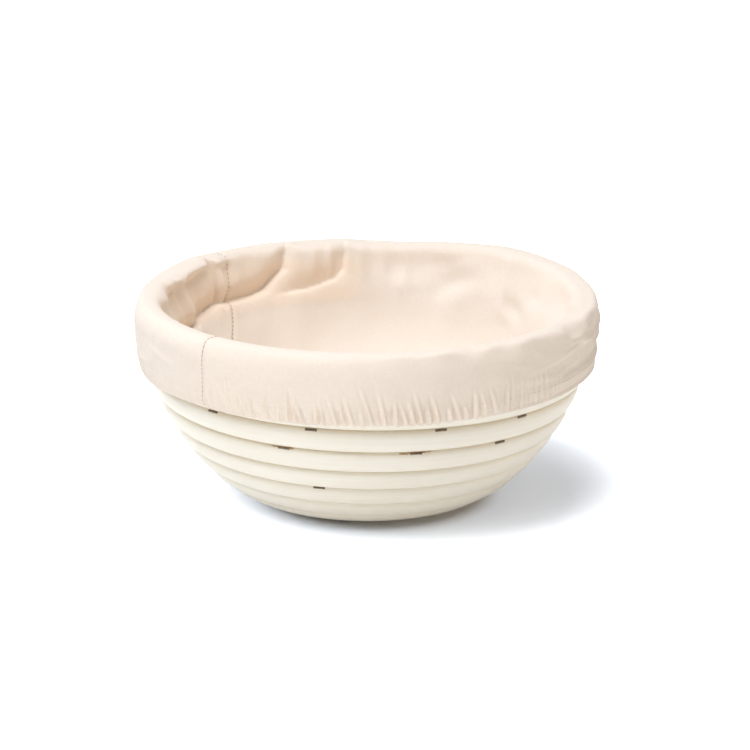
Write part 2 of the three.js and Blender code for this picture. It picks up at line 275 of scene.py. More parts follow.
def makeClothMaterial():
    s = clothFinish
    material, tree, surface = newMaterial("naturalCotton", Roughness=0.92)
    surface.inputs["Specular IOR Level"].default_value = s["gloss"]
    surface.inputs["Sheen Weight"].default_value = s["sheen"]
    surface.inputs["Sheen Roughness"].default_value = 0.5
    wall = addNode(tree, "UVMap", uv_map="wallWeave")
    floor = addNode(tree, "UVMap", uv_map="floorWeave")
    onFloor = addNode(tree, "Attribute", attribute_name="onFloor")
    cupLightAndShade = addNode(tree, "Attribute", attribute_name="cupLightAndShade").outputs["Fac"]  # above nought painted light on the cup's wall, below nought painted shade among the folds
    where = tree.nodes.new("ShaderNodeTexCoord")
    weaves = [useGroup(tree, weaveGroup, Vector=uv.outputs[0], Threads=s["threads"]) for uv in (wall, floor)]
    mixed = []
    for title in ("Height", "Slub"):
        gap = calc(tree, "SUBTRACT", weaves[1].outputs[title], weaves[0].outputs[title])
        mixed.append(calc(tree, "MULTIPLY_ADD", gap, onFloor.outputs["Fac"], weaves[0].outputs[title]))
    tone = useGroup(tree, toneGroup, Vector=where.outputs["Object"], Scale=s["driftScale"])
    colour = blendColour(tree, spread(tree, mixed[1], *s["slubs"]), s["dark"], s["pale"])
    drifted = spread(tree, tone.outputs["Tone"], *s["drift"])
    colour = blendColour(tree, calc(tree, "MULTIPLY", drifted, s["driftShare"]), colour, s["dark"])
    # painted light: the cup's wall is coloured paler
    colour = blendColour(tree, calc(tree, "MULTIPLY", cupLightAndShade, s["cupLightShare"]), colour, s["inner"])
    # painted shade: the folds are coloured darker and warmer
    colour = blendColour(tree, calc(tree, "MULTIPLY", cupLightAndShade, -s["foldShadeShare"]), colour, s["foldShade"])
    link(tree, colour, surface.inputs["Base Color"])
    threads = calc(tree, "MULTIPLY", mixed[0], s["threadHeight"])
    height = calc(tree, "MULTIPLY_ADD", mixed[1], s["slubHeight"], threads)
    bump = addNode(tree, "Bump", Strength=s["bump"], Distance=s["relief"])
    link(tree, height, bump.inputs["Height"])
    link(tree, bump.outputs[0], surface.inputs["Normal"])
    return material


def makePlainMaterial(name, first, second, scale, roughness, metallic=0.0):
    material, tree, surface = newMaterial(name, Metallic=metallic)
    where = tree.nodes.new("ShaderNodeTexCoord")
    tone = useGroup(tree, toneGroup, Vector=where.outputs["Object"], Scale=scale)
    mask = spread(tree, tone.outputs["Tone"], 0.35, 0.7)
    link(tree, blendColour(tree, mask, first, second), surface.inputs["Base Color"])
    link(tree, calc(tree, "MULTIPLY_ADD", mask, 0.2, roughness), surface.inputs["Roughness"])
    bump = addNode(tree, "Bump", Strength=0.3, Distance=0.0001)
    link(tree, tone.outputs["Tone"], bump.inputs["Height"])
    link(tree, bump.outputs[0], surface.inputs["Normal"])
    return material


cane = makeCaneMaterial()
cotton = makeClothMaterial()
stapleWire = makePlainMaterial("brownedWire", (0.25, 0.18, 0.12), (0.09, 0.07, 0.055), 700.0, 0.45, 0.4)
seamThread = makePlainMaterial("seamThread", (0.66, 0.54, 0.42), (0.53, 0.42, 0.32), 1500.0, 0.75)
hemThread = makePlainMaterial("hemThread", (0.85, 0.74, 0.62), (0.79, 0.68, 0.56), 1500.0, 0.8)
bandElastic = makePlainMaterial("wovenElastic", (0.82, 0.79, 0.73), (0.70, 0.67, 0.61), 1200.0, 0.85)
frayed = makePlainMaterial("frayedFibre", (0.44, 0.24, 0.09), (0.62, 0.42, 0.20), 1200.0, 0.7)
print("materials made")

# Basket: the same middle line and winding as the solids, in millimetres
basketShape = dict(
    rimRadius=97.5, rimHeight=86.3, baseFlatRadius=35.5, bendRadius=40.0, wallArcRadius=96.2,
)
winding = dict(
    pitch=10.97, width=10.9, thickness=8.0, roundness=2.9, eyeRadius=1.6, tipWidth=2.5, tipThickness=4.0,
    startAngle=22.0, lowerJoin=4.6, upperJoin=9.8, scarf=24.0, joinGap=0.25, stepsPerTurn=112, sides=20,
    wobble=0.2, swell=0.035, levelTo=36.0, looseFrom=60.0, girth=30, grooveShadeTurns=(6.5, 9.5), lowGrooveShade=0.82,
)
halfWall = winding["thickness"] / 2
rimCentre = basketShape["rimRadius"] - halfWall
bendAngle = math.asin(
    (basketShape["baseFlatRadius"] + basketShape["wallArcRadius"] - rimCentre)
    / (basketShape["wallArcRadius"] - basketShape["bendRadius"])
)
bendEnd = basketShape["baseFlatRadius"] + basketShape["bendRadius"] * bendAngle
arcEnd = bendEnd + basketShape["wallArcRadius"] * (math.pi / 2 - bendAngle)


def wallSpot(length):  # radius, height and slope on the middle line of the cane wall
    s = basketShape
    if length <= s["baseFlatRadius"]:
        return length, halfWall, 0.0
    inBend = min((length - s["baseFlatRadius"]) / s["bendRadius"], bendAngle)
    r = s["baseFlatRadius"] + s["bendRadius"] * math.sin(inBend)
    z = halfWall + s["bendRadius"] * (1 - math.cos(inBend))
    if length <= bendEnd:
        return r, z, inBend
    slope = min(bendAngle + (length - bendEnd) / s["wallArcRadius"], math.pi / 2)
    r += s["wallArcRadius"] * (math.sin(slope) - math.sin(bendAngle))
    z += s["wallArcRadius"] * (math.cos(bendAngle) - math.cos(slope)) + max(0.0, length - arcEnd)
    return r, z, slope


def besideWall(length, across, out):
    r, z, slope = wallSpot(length)
    return (
        r + across * math.cos(slope) + out * math.sin(slope),
        z + across * math.sin(slope) - out * math.cos(slope),
    )


def lengthWhere(valueAt, goal):
    low, high = 0.0, arcEnd + basketShape["rimHeight"]
    for _ in range(50):
        middle = (low + high) / 2
        low, high = (middle, high) if valueAt(middle) < goal else (low, middle)
    return (low + high) / 2


rimLength = lengthWhere(lambda length: wallSpot(length)[1], basketShape["rimHeight"])


def caneEdges(turns):
    w = winding
    edge = w["eyeRadius"] + w["pitch"] * (turns - 1)
    return max(edge, w["eyeRadius"]), min(edge + w["width"], rimLength)


def windingAngle(turns):
    return math.radians(winding["startAngle"]) - turns * 2 * math.pi


firstTurn = (winding["pitch"] - winding["width"] + winding["tipWidth"]) / winding["pitch"]
lastTurn = (rimLength - winding["tipWidth"] - winding["eyeRadius"]) / winding["pitch"] + 1


def roundedShare(x):  # flat oval: one power of the cosine or sine
    return math.copysign(abs(x) ** (2 / winding["roundness"]), x)


def canePoint(turns, acrossShare, outShare):
    w = winding
    inner, outer = caneEdges(turns)
    width = outer - inner
    taper = (width - w["tipWidth"]) / (w["width"] - w["tipWidth"])
    thickness = w["tipThickness"] + (w["thickness"] - w["tipThickness"]) * taper
    angle = windingAngle(turns)
    shift = w["wobble"] * noise.noise(Vector((turns * 5.0, 0.3, 1.7)))
    swell = w["swell"] * noise.noise(Vector((turns * 9.0, 4.1, 2.2)))
    loose = ease(w["levelTo"], w["looseFrom"], outer)  # the flat base keeps its level
    out = outShare * thickness / 2 * (1 + swell * loose) + shift * loose
    r, z = besideWall((inner + outer) / 2, acrossShare * width / 2, out)
    return Vector((r * math.cos(angle), r * math.sin(angle), z)) * mm


def turnsFor(arc, turns):
    inner, outer = caneEdges(turns)
    return arc / (2 * math.pi * wallSpot((inner + outer) / 2)[0])


def caneAlong(turns):  # length of cane wound so far, near enough for the grain
    return 2 * math.pi * (winding["eyeRadius"] * turns + winding["pitch"] * turns * turns / 2) * 0.75


def buildCane(name, first, last, firstSlant, lastSlant):
    w = winding
    columns = max(8, round((last - first) * w["stepsPerTurn"]))
    bm, shares = paramGrid(columns, w["sides"])
    grainUv = bm.loops.layers.uv.new("grain")
    grooveShadeLayer = bm.verts.layers.float.new("edge")
    for face in bm.faces:
        for loop in face.loops:
            along, around = shares[loop.vert.index]
            loop[grainUv].uv = (caneAlong(first + (last - first) * along) * mm, around * w["girth"] * mm)
    for vert, (along, around) in zip(bm.verts, shares):
        turn = around * 2 * math.pi
        acrossShare, outShare = roundedShare(math.cos(turn)), roundedShare(math.sin(turn))
        turns = first + (last - first) * along
        nearFirst = 1 - ease(0, 3 * firstSlant + 1e-6, turns - first)
        nearLast = 1 - ease(0, 3 * lastSlant + 1e-6, last - turns)
        turns += outShare * (firstSlant * nearFirst + lastSlant * nearLast)
        upper = ease(*w["grooveShadeTurns"], turns)  # the painted groove shade is lighter on the lower turns
        vert[grooveShadeLayer] = abs(acrossShare) * (w["lowGrooveShade"] + (1 - w["lowGrooveShade"]) * upper)
        vert.co = canePoint(turns, acrossShare, outShare)
    bmesh.ops.remove_doubles(bm, verts=bm.verts, dist=1e-7)
    rims = [e for e in bm.edges if e.is_boundary]
    bmesh.ops.holes_fill(bm, edges=rims, sides=0)
    bmesh.ops.recalc_face_normals(bm, faces=bm.faces)
    piece = addPiece(name, bm, cane, "basket")
    return piece


lowerSlant = turnsFor(winding["scarf"] / 2, winding["lowerJoin"])
upperSlant = turnsFor(winding["scarf"] / 2, winding["upperJoin"])
lowerStart = winding["lowerJoin"] + turnsFor(winding["joinGap"], winding["lowerJoin"])
upperStart = winding["upperJoin"] + turnsFor(winding["joinGap"], winding["upperJoin"])
for name, node, first, last, firstSlant, lastSlant in (
    ("base_winding", "base_cane", firstTurn, winding["lowerJoin"], 0.0, lowerSlant),
    ("lower_winding", "lower_wall_cane", lowerStart, winding["upperJoin"], lowerSlant, upperSlant),
    ("upper_winding", "upper_wall_cane", upperStart, lastTurn, upperSlant, 0.0),
):
    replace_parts(buildCane(name, first, last, firstSlant, lastSlant), node)
for name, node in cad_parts.items():
    if name.startswith("staple_"):
        node.data.materials.clear()
        node.data.materials.append(stapleWire)
print("cane wound")

# Splinters that stand up from the groove beside two of the front staples
splinters = dict(
    besides=[("staple_20", -4.4, 3.6), ("staple_19", -6.6, 5.2)], count=20, length=(1.6, 3.6),
    radius=(0.14, 0.27), tip=0.02, tilt=0.09, lean=(0.03, 0.06), outwards=(-0.35, 0.2), height=(-0.6, 0.1),
    crown=0.4, seed=23,
)


def buildSplinters():
    k = splinters
    random.seed(k["seed"])
    bm = bmesh.new()
    for name, first, last in k["besides"]:
        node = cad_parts[name]
        corners = [node.matrix_world @ v.co for v in node.data.vertices]
        crown = max(v.z for v in corners)
        crowns = [v for v in corners if v.z > crown - k["crown"] * mm]
        middle = sum(crowns, Vector()) / len(crowns)
        outward = Vector((middle.x, middle.y, 0)).normalized()
        groove = Vector((-outward.y, outward.x, 0))
        for i in range(k["count"]):
            length = random.uniform(*k["length"])
            along = first + (last - first) * (i + random.random()) / k["count"]
            direction = groove * random.choice((-1, 1)) + Vector((0, 0, random.gauss(0, k["tilt"])))
            direction += outward * random.gauss(*k["lean"])
            place = middle + (groove * along + outward * random.uniform(*k["outwards"])) * mm
            place.z += random.uniform(*k["height"]) * mm
            radius = random.uniform(*k["radius"])
            turn = direction.to_track_quat("Z", "Y").to_matrix().to_4x4()
            bmesh.ops.create_cone(
                bm, cap_ends=True, segments=5, radius1=radius * mm, radius2=k["tip"] * mm, depth=length * mm,
                matrix=Matrix.Translation(place) @ turn,
            )
    return addPiece("cane_splinters", bm, frayed, "basket")


buildSplinters()
print("splinters set")

# Liner: one cloth from the bowl's floor, up the inside, over the rim and down to the elastic hem
liner = dict(
    columns=360, thickness=0.7, hem=58.8, hemRound=1.8, casing=6.6, innerLayer=7.0, inset=0.5,
    seamRadius=97.5, seamOffset=68.0, seamTurn=1.6,
    cup=[(0, 9.2), (14, 9.2), (27, 9.4), (36.5, 11.2), (47, 17.2), (57.5, 26.2), (66.6, 36), (74.4, 46),
         (80.4, 56), (84.6, 66), (87.0, 75.0), (87.9, 81.9)],
    crest=(93.1, 88.0), innerRound=3.2, outerRound=2.0,
    skirt=[(99.0, 79.2), (99.2, 72.5), (98.9, 66), (98.3, 62.6), (97.6, 60.6)],
    casingRoom=2.55, skirtRoom=1.15, casingTop=(65.5, 69),
    spacing=dict(floor=4.0, cup=2.2, roll=1.15, skirt=1.05, under=1.6),
)


def smoothLine(points, gap, firstGap=None):  # a curve through the points, at about even steps
    ends = [Vector(points[0]) * 2 - Vector(points[1])] + [Vector(p) for p in points]
    ends.append(Vector(points[-1]) * 2 - Vector(points[-2]))
    line = []
    for a, b, c, d in zip(ends, ends[1:], ends[2:], ends[3:]):
        steps = max(2, round((c - b).length / (firstGap if firstGap and len(line) < 7 else gap)))
        for i in range(steps):
            t = i / steps
            bend = (2 * a - 5 * b + 4 * c - d) * t ** 2 + (3 * b - a - 3 * c + d) * t ** 3
            line.append(0.5 * (2 * b + (c - a) * t + bend))
    line.append(Vector(points[-1]))
    return line


def quarterRound(start, end, flatAtEnd, power):  # a quarter of an oval, level at the crest
    count = round((Vector(end) - Vector(start)).length * 1.15 / liner["spacing"]["roll"])
    for i in range(1, count + 1):
        turn = math.pi / 2 * i / count
        rise, run = max(math.sin(turn), 0) ** (2 / power), max(math.cos(turn), 0) ** (2 / power)
        across, up = (1 - run, rise) if flatAtEnd else (rise, 1 - run)
        yield Vector((start[0] + (end[0] - start[0]) * across, start[1] + (end[1] - start[1]) * up))


def outerCane(height):
    length = lengthWhere(lambda along: besideWall(along, 0, halfWall)[1], height)
    return besideWall(length, 0, halfWall)[0]


caneOut = [(z, outerCane(z)) for z in range(56, 86, 2)]  # outer radius of the cane by height


def linerPath():  # the rows of the cloth, with where each part of it ends
    skirt = liner["skirt"]
    rows = smoothLine(liner["cup"], liner["spacing"]["cup"], liner["spacing"]["floor"])
    ends = [len(rows) - 1]
    rows += quarterRound(liner["cup"][-1], liner["crest"], True, liner["innerRound"])
    rows += quarterRound(liner["crest"], skirt[0], False, liner["outerRound"])
    ends.append(len(rows) - 1)
    rows += smoothLine(skirt, liner["spacing"]["skirt"])[1:]
    ends.append(len(rows) - 1)
    inner = outerCane(liner["hem"] + 2) + liner["inset"]
    half = (skirt[-1][0] - inner) / 2
    for angle in (-35, -75, -115, -155):
        turn = math.radians(angle)
        z = liner["hem"] + liner["hemRound"] * (1 + math.sin(turn))
        rows.append(Vector((inner + half + half * math.cos(turn), z)))
    steps = round(liner["innerLayer"] / liner["spacing"]["under"])
    for i in range(steps + 1):
        z = liner["hem"] + 2 + liner["innerLayer"] * i / steps
        rows.append(Vector((outerCane(z) + liner["inset"], z)))
    return rows, ends


clothRows, partEnds = linerPath()
clothLengths = [0.0]
for spot, after in zip(clothRows, clothRows[1:]):
    clothLengths.append(clothLengths[-1] + (after - spot).length)
cupEnd, rollEnd, skirtEnd = (clothLengths[i] for i in partEnds)
print("cloth from the middle to the hem:", round(clothLengths[-1], 1), "mm")


def clothSpot(along):  # radius and height of the even cloth
    i = min(max(bisect.bisect_right(clothLengths, along) - 1, 0), len(clothRows) - 2)
    share = (along - clothLengths[i]) / (clothLengths[i + 1] - clothLengths[i])
    return clothRows[i].lerp(clothRows[i + 1], clamp01(share))


def seamReach(along):  # stretched radius on which the seam is one straight line
    if along >= cupEnd:
        return liner["seamRadius"]
    return liner["seamRadius"] * clothSpot(along).x / liner["cup"][-1][0]


seamTurn = math.radians(liner["seamTurn"])
seamSide = Vector((math.cos(seamTurn), math.sin(seamTurn), 0))
seamPucker = dict(reach=4, sink=0.45, width=0.6, swell=0.25, swellAt=1.6, swellWidth=0.8)


def seamSink(gap):  # the seam lies in, with a low swell on each side
    p = seamPucker
    if gap >= p["reach"]:
        return 0.0
    swell = p["swell"] * math.exp(-(((gap - p["swellAt"]) / p["swellWidth"]) ** 2))
    return p["sink"] * math.exp(-((gap / p["width"]) ** 2)) - swell


# Creases rising from the gathered hem, each with a fuller fold on its right
hemGathers = dict(
    spacing=2.4, jitter=0.7, valley=(0.7, 1.3), fold=(0.9, 1.7), reach=(8, 20), lean=(-0.2, 0.0), seed=7,
    valleyWidth=0.7, foldAt=1.2, foldHalf=1.35, sway=0.8, swayHeight=14, drawnUp=0.35, underShare=0.25,
    strength=[(-180, 0.75), (-100, 0.7), (-84, 0.25), (-42, 0.3), (-31, 0.9), (-20, 1.0), (25, 1.0),
              (34, 0.6), (46, 0.3), (78, 0.25), (90, 0.6), (110, 0.75), (180, 0.75)],
)
random.seed(hemGathers["seed"])
binDegrees = 8
binCount = 360 // binDegrees
gatherBins = [[] for _ in range(binCount)]
gatherAngle = -180.0
while gatherAngle < 180:
    gather = {key: random.uniform(*hemGathers[key]) for key in ("valley", "fold", "reach", "lean")}
    gather["angle"] = gatherAngle
    gatherBins[int((gatherAngle + 180) // binDegrees) % binCount].append(gather)
    gatherAngle += hemGathers["spacing"] * (1 + hemGathers["jitter"] * random.uniform(-0.5, 0.5))

# Degrees round from the front, to the right as positive and counted on past the back, and heights
wallDegree = 1.55  # millimetres on the wall for a degree
cupCreases = [
    dict(
        line=[(-157, 95), (-156, 87), (-154, 77.5), (-147, 69.5), (-141, 67.7), (-133, 67.6), (-127, 68.2),
              (-121, 66.2), (-114, 65), (-100, 60), (-84, 53), (-66, 46)],
        depth=4.4, run=1.7, lip=1.2, recess=1.6, lean=2.6, near=(-104, -70), far=52,
    ),
    dict(
        line=[(-174, 95), (-173.5, 84.5), (-172.5, 76), (-170, 72.5), (-165, 70.5), (-160, 69), (-152, 68.2),
              (-146, 66)],
        depth=2.4, run=1.6, lip=0.8, recess=0.9, lean=1.4, near=(-158, -147), far=48,
    ),
]
cupRidges = [  # angle, half width, depth inwards, lowest, highest, lean in degrees per millimetre
    (-107.6, 4.4, 3.4, 62, 91, 0.19), (-127.2, 1.5, -1.7, 69, 90, 0.06), (-130.2, 2.4, 1.5, 67, 91, 0.05),
    (-118.5, 6.0, -1.0, 66, 84, 0.1), (-101.0, 4.0, -1.3, 62, 86, 0.15), (-137.5, 3.0, 0.9, 72, 90, 0.0),
    (-90.0, 8.0, 2.6, 58, 89, 0.14), (-163.0, 2.4, 1.4, 77, 91, 0.0), (-166.3, 1.3, -0.9, 76, 91, 0.05),
    (-168.5, 2.0, 1.2, 77, 91, 0.0), (-178.5, 2.6, 1.2, 74, 91, 0.0), (175.0, 2.6, 0.8, 74, 91, 0.0),
    (168.0, 3.4, 1.0, 66, 91, 0.0), (156.0, 15.0, -1.2, 62, 84, 0.25), (146.0, 8.0, 1.7, 60, 84, -0.2),
    (133.0, 5.5, 1.9, 64, 90, 0.1), (112.0, 9.0, 1.4, 55, 86, 0.0), (88.0, 7.0, 2.2, 58, 88, 0.15),
    (64.0, 9.0, 1.6, 52, 86, -0.1), (38.0, 6.0, 2.4, 60, 89, 0.1), (14.0, 8.0, 1.6, 56, 87, -0.15),
    (-9.0, 5.0, 2.0, 60, 89, 0.1), (-34.0, 7.0, 1.8, 56, 88, -0.1), (-62.0, 8.0, 2.8, 58, 88, 0.1),
]
cupSlack = [  # how far the cloth hangs in from the wall, by angle
    (-180, 3.0), (-165, 1.6), (-150, 0.2), (-70, 0.8), (0, 2.4), (40, 3.8), (70, 4.8), (140, 5.0), (165, 4.0),
    (180, 3.0),
]
slackHeights = dict(low=38, full=68, top=88, fade=18)
# Angle, height, half length in degrees, half height, depth outwards, slope in millimetres per degree
cupDents = [
    (151, 73, 11, 7, 2.6, -0.45), (128, 68, 9, 6, 1.8, 0.35), (170, 78, 5, 8, 0.9, 0.0),
    (118, 74, 7, 5, 1.0, -0.3),
]
# Angle, half width and depth of a sharp turn of the cloth just inside the crest
crestLips = [(-118.0, 8.5, 2.8), (-131.5, 4.5, 1.6), (-104.0, 5.0, 1.5)]
lipHeight, lipHalf, lipSoft = 86.5, 4.5, 2.5
# Angle, height, half length in degrees, half width in millimetres, depth, slope in millimetres per degree
skirtWrinkles = [
    (52, 77, 13, 2.6, 1.1, 0.28), (60, 71, 12, 2.2, 0.6, 0.3), (66, 80, 9, 2.4, 1.0, -0.3),
    (45, 70, 11, 2.0, 0.7, -0.15), (72, 67, 10, 2.2, 0.6, 0.3), (80, 74, 10, 2.8, 1.1, 0.2),
    (44, 83, 4.5, 2.2, 0.9, -1.1), (57, 84, 4.5, 2.2, 1.0, -1.0), (67, 84, 4.0, 2.0, 0.9, -1.2),
    (37, 80, 5, 1.8, 0.6, -0.8), (75, 79, 6, 1.8, 0.8, 0.7), (61, 82, 13, 2.0, 1.3, 0.23),
    (59, 77.5, 12, 1.8, 0.9, 0.25), (85, 68, 7, 2.0, 0.9, 0.35), (33, 72, 8, 2.0, 0.5, -0.2),
    (-58, 74, 12, 2.4, 0.5, -0.2), (-72, 68, 11, 2.2, 0.5, 0.25), (110, 72, 14, 2.6, 0.8, 0.25),
    (140, 75, 12, 2.2, 0.7, -0.3), (165, 70, 13, 2.6, 0.7, 0.3), (-160, 74, 12, 2.4, 0.7, 0.25),
    (-128, 70, 13, 2.4, 0.7, -0.28), (-105, 76, 11, 2.2, 0.6, 0.22), (-20, 77, 14, 2.4, 0.3, -0.12),
    (98, 80, 8, 2.0, 0.8, -0.5), (124, 82, 7, 2.0, 0.8, 0.6), (152, 80, 8, 2.0, 0.7, -0.5),
    (-144, 81, 8, 2.0, 0.7, 0.5), (-92, 72, 9, 2.2, 0.5, -0.4), (178, 80, 9, 2.2, 0.7, 0.4),
    (70, 80, 9, 2.2, 1.2, 0.55), (88, 79, 9, 2.0, 0.8, 0.3), (76, 83, 6, 1.8, 0.9, 0.7),
]
skirtTaper = [  # how far the hem is drawn in
    (-180, 0.3), (-150, 0.0), (-115, 1.0), (-75, 1.0), (-55, 0.0), (30, 0.0), (65, 2.0), (105, 2.0),
    (140, 0.6), (180, 0.3),
]
crestCorner = [  # how square the outer turn is
    (-180, 0.4), (-60, 0.1), (-10, 0.3), (25, 1.0), (55, 1.5), (100, 1.0), (140, 0.5), (180, 0.4),
]
crestRuffle = [(-180, 0.3), (0, 0.5), (28, 2.0), (62, 2.0), (80, 0.1), (180, 0.3)]  # how uneven that turn is
# Depth, turns, height of a wave and seed of the uneven skirt
skirtNoise = [(0.4, 10, 13, 31), (0.45, 4, 16, 7), (0.2, 16, 5, 9)]
rimHeights = [  # how the crest rises and falls round the rim
    (-180, -0.6), (-173, 0.2), (-161, 0.4), (-149, 0.8), (-134, 0.9), (-125, 1.8), (-112, 1.0), (-98, 0.9),
    (-80, 0.2), (-45, 0.0), (45, 0.0), (80, -0.6), (96, -0.9), (103, -0.3), (112, 0.9), (122, 1.2),
    (132, 2.0), (140, 2.0), (147, 1.2), (154, 0.4), (160, 0.0), (165, -0.7), (172, -1.0), (180, -0.6),
]


def roundNoise(angle, turns, height, seed):
    around = math.radians(angle)
    return noise.noise(Vector((math.sin(around) * turns + seed, math.cos(around) * turns, height)))


def lineGap(line, angle, z):  # distance to a crease, with degrees turned to lengths on the wall
    here = Vector((angle * wallDegree, z))
    least = 1e9
    for (a0, z0), (a1, z1) in zip(line, line[1:]):
        start = Vector((a0 * wallDegree, z0))
        run = Vector(((a1 - a0) * wallDegree, z1 - z0))
        share = clamp01((here - start).dot(run) / run.length_squared)
        least = min(least, (here - start - run * share).length)
    return least


def creaseGap(crease, angle, z):  # how far below a crease, negative above it, and how strong it is there
    line = crease["line"]
    counted = angle if angle < 60 else angle - 360
    if counted > crease["near"][1] or counted < line[0][0] - crease["far"]:
        return 0.0, 0.0
    below = lineGap(line, counted, z) * (1 if z < readTable(line, counted) else -1)
    return below, (1 - ease(*crease["near"], counted)) * (1 - ease(0, crease["far"], line[0][0] - counted))


# Under a crease the cloth stands in and its lip rises, and above it the cloth hangs in from the rim
def creaseShape(angle, z):
    depth = lift = 0.0
    lipRun = 1.3
    for crease in cupCreases:
        below, share = creaseGap(crease, angle, z)
        if share and below > 0:
            fade = 1 - 0.6 * ease(4, 34, below)
            depth += share * crease["depth"] * (1 - math.exp(-below / crease["run"])) * fade
            lift += share * crease["lip"] * below / lipRun * math.exp(1 - below / lipRun)
        elif share:
            hang = ease(1.0, 8, -below) * (1 - 0.7 * ease(8, 18, -below))
            depth += share * (crease["lean"] * hang - crease["recess"] * math.exp(below / 2.5))
    return depth * ease(14, 50, z), lift


def cupFold(angle, z):  # how far the cloth stands in from its even bowl, and how far it is lifted
    depth, lift = creaseShape(angle, z)
    for middle, half, deep, low, high, lean in cupRidges:
        share = turnFrom(angle, middle + lean * (z - high)) / half
        if abs(share) < 1:
            ridge = 0.5 * bell(share) + 0.5 * (1 - abs(share)) ** 1.4
            depth += deep * ridge * ease(low - 6, low + 6, z) * (1 - ease(high - 5, high, z))
    h = slackHeights
    depth += readTable(cupSlack, angle) * clamp01((h["top"] - z) / h["fade"]) * ease(h["low"], h["full"], z)
    for middle, height, long, tall, deep, slope in cupDents:
        turn = turnFrom(angle, middle)
        if abs(turn) < long:
            depth -= deep * bell(turn / long) * bell((z - height - slope * turn) / tall)
    for middle, half, deep in crestLips:
        share = 1 - ease(half - lipSoft, half, abs(turnFrom(angle, middle)))
        depth += deep * share * bell((z - lipHeight) / lipHalf)
    depth += 0.7 * roundNoise(angle, 2.6, z / 22, 0) * ease(20, 55, z)
    return depth + 0.2 * roundNoise(angle, 11, z / 7, 3), lift


def gatherDepth(angle, up):
    g = hemGathers
    depth = 0.0
    place = int((angle + 180) // binDegrees)
    for gather in sum((gatherBins[i % binCount] for i in (place - 1, place, place + 1)), []):
        if up < gather["reach"]:
            turn = turnFrom(angle, gather["angle"] + gather["lean"] * up)
            across = math.radians(turn) * liner["skirt"][0][0]
            rise = 1 - ease(0.25 * gather["reach"], gather["reach"], up)
            depth -= rise * gather["valley"] * math.exp(-((across / g["valleyWidth"]) ** 2))
            depth += rise * gather["fold"] * bell((across - g["foldAt"]) / g["foldHalf"])
    return depth * readTable(g["strength"], angle)


def skirtFold(angle, z):
    up = z - liner["hem"]
    depth = gatherDepth(angle, up) * (0.55 + 0.45 * ease(0, 4, up))
    depth += 0.35 * bell((up - 3.2) / 3.6)  # the band inside the casing
    depth -= 0.3 * bell((up - liner["casing"]) / 1.0)  # stitched line over it
    for middle, height, long, wide, deep, slope in skirtWrinkles:
        turn = turnFrom(angle, middle)
        if abs(turn) < long:
            depth += deep * bell(turn / long) * bell((z - height - slope * turn) / wide)
    depth -= readTable(skirtTaper, angle) * (1 - ease(68, 84, z))
    for deep, turns, tall, seed in skirtNoise:
        depth += deep * roundNoise(angle, turns, z / tall, seed)
    return depth


def clothPoint(angle, along):  # where the folded cloth's outer face lies, in millimetres
    g = hemGathers
    radius, z = clothSpot(along)
    around = math.radians(angle)
    outwards = Vector((math.sin(around), -math.cos(around), 0))
    reach = seamReach(along)
    sink = seamSink(abs(reach * outwards.dot(seamSide) + liner["seamOffset"]) * radius / max(reach, 1e-6))
    if along <= cupEnd:
        fold, lift = cupFold(angle, z)
        radius += sink - fold
        z += lift
    elif along <= rollEnd:
        outer = ease(liner["crest"][0], liner["skirt"][0][0], radius)
        inner = 1 - ease(liner["cup"][-1][0], liner["crest"][0], radius)
        ruffle = 1 + readTable(crestRuffle, angle) * roundNoise(angle, 9, 0.5, 21)
        corner = readTable(crestCorner, angle) * ruffle * math.sin(math.pi * outer)
        fold, lift = cupFold(angle, z)
        radius += skirtFold(angle, z) * outer - fold * inner + sink * (inner - outer) + corner
        z += corner + lift * inner - sink * (1 - inner) * (1 - outer)
    elif along <= skirtEnd:
        above = ease(*liner["casingTop"], z)  # the cane, the turned-up hem and the band lie under it
        room = liner["casingRoom"] + (liner["skirtRoom"] - liner["casingRoom"]) * above
        radius = max(radius + skirtFold(angle, z), readTable(caneOut, z) + room) - sink
    else:
        radius += g["underShare"] * gatherDepth(angle, z - liner["hem"])
    swayTop = liner["hem"] + g["swayHeight"]
    if along > rollEnd and z < swayTop:
        hang = g["sway"] * noise.noise(Vector((around * 3, 8.0, 1.0)))
        hang -= g["drawnUp"] * gatherDepth(angle, 1.0)
        z += hang * (1 - ease(liner["hem"] + 2, swayTop, z))
    z += readTable(rimHeights, angle) * ease(66, 86, z)
    return outwards * max(radius, 0) + Vector((0, 0, z))


finer = dict(
    hem=(-19, 1.5), hemCuts=3, roll=-4, lowest=58, creaseCuts=2, creaseNear=(-4, 5.5),
    folds=(-137, -100), foldsLow=66,
)


def nearCrease(angle, z):
    if finer["folds"][0] < angle < finer["folds"][1] and z > finer["foldsLow"]:
        return True
    above, under = finer["creaseNear"]
    gaps = [creaseGap(crease, angle, z) for crease in cupCreases]
    return any(share > 0.1 and above < below < under for below, share in gaps)


def refineCloth(bm, alongLayer):  # more corners round the gathered hem and beside the creases
    low, high = (skirtEnd + away for away in finer["hem"])
    gathered = []
    for edge in bm.edges:
        first, last = (vert[alongLayer] for vert in edge.verts)
        if abs(first - last) < 1e-3 and low < first < high:
            gathered.append(edge)
    bmesh.ops.subdivide_edges(bm, edges=gathered, cuts=finer["hemCuts"], use_grid_fill=True)
    creased = set()
    for face in bm.faces:
        middle = face.calc_center_median()
        angle, z = math.degrees(math.atan2(middle.x, -middle.y)), clothSpot(middle.z / mm).y
        if middle.z / mm < rollEnd + finer["roll"] and z > finer["lowest"] and nearCrease(angle, z):
            creased.update(face.edges)
    bmesh.ops.subdivide_edges(bm, edges=list(creased), cuts=finer["creaseCuts"], use_grid_fill=True)


# Where the cup's painted light and painted fold shade lie: lengths from the middle of the cup or from its
# top, and degrees from the middle of the folds
cupLightAndShadePlaces = dict(wall=(45, 85), top=(-4, 2), foldsAt=-140, folds=(30, 50), foldsFrom=(-23, -16))


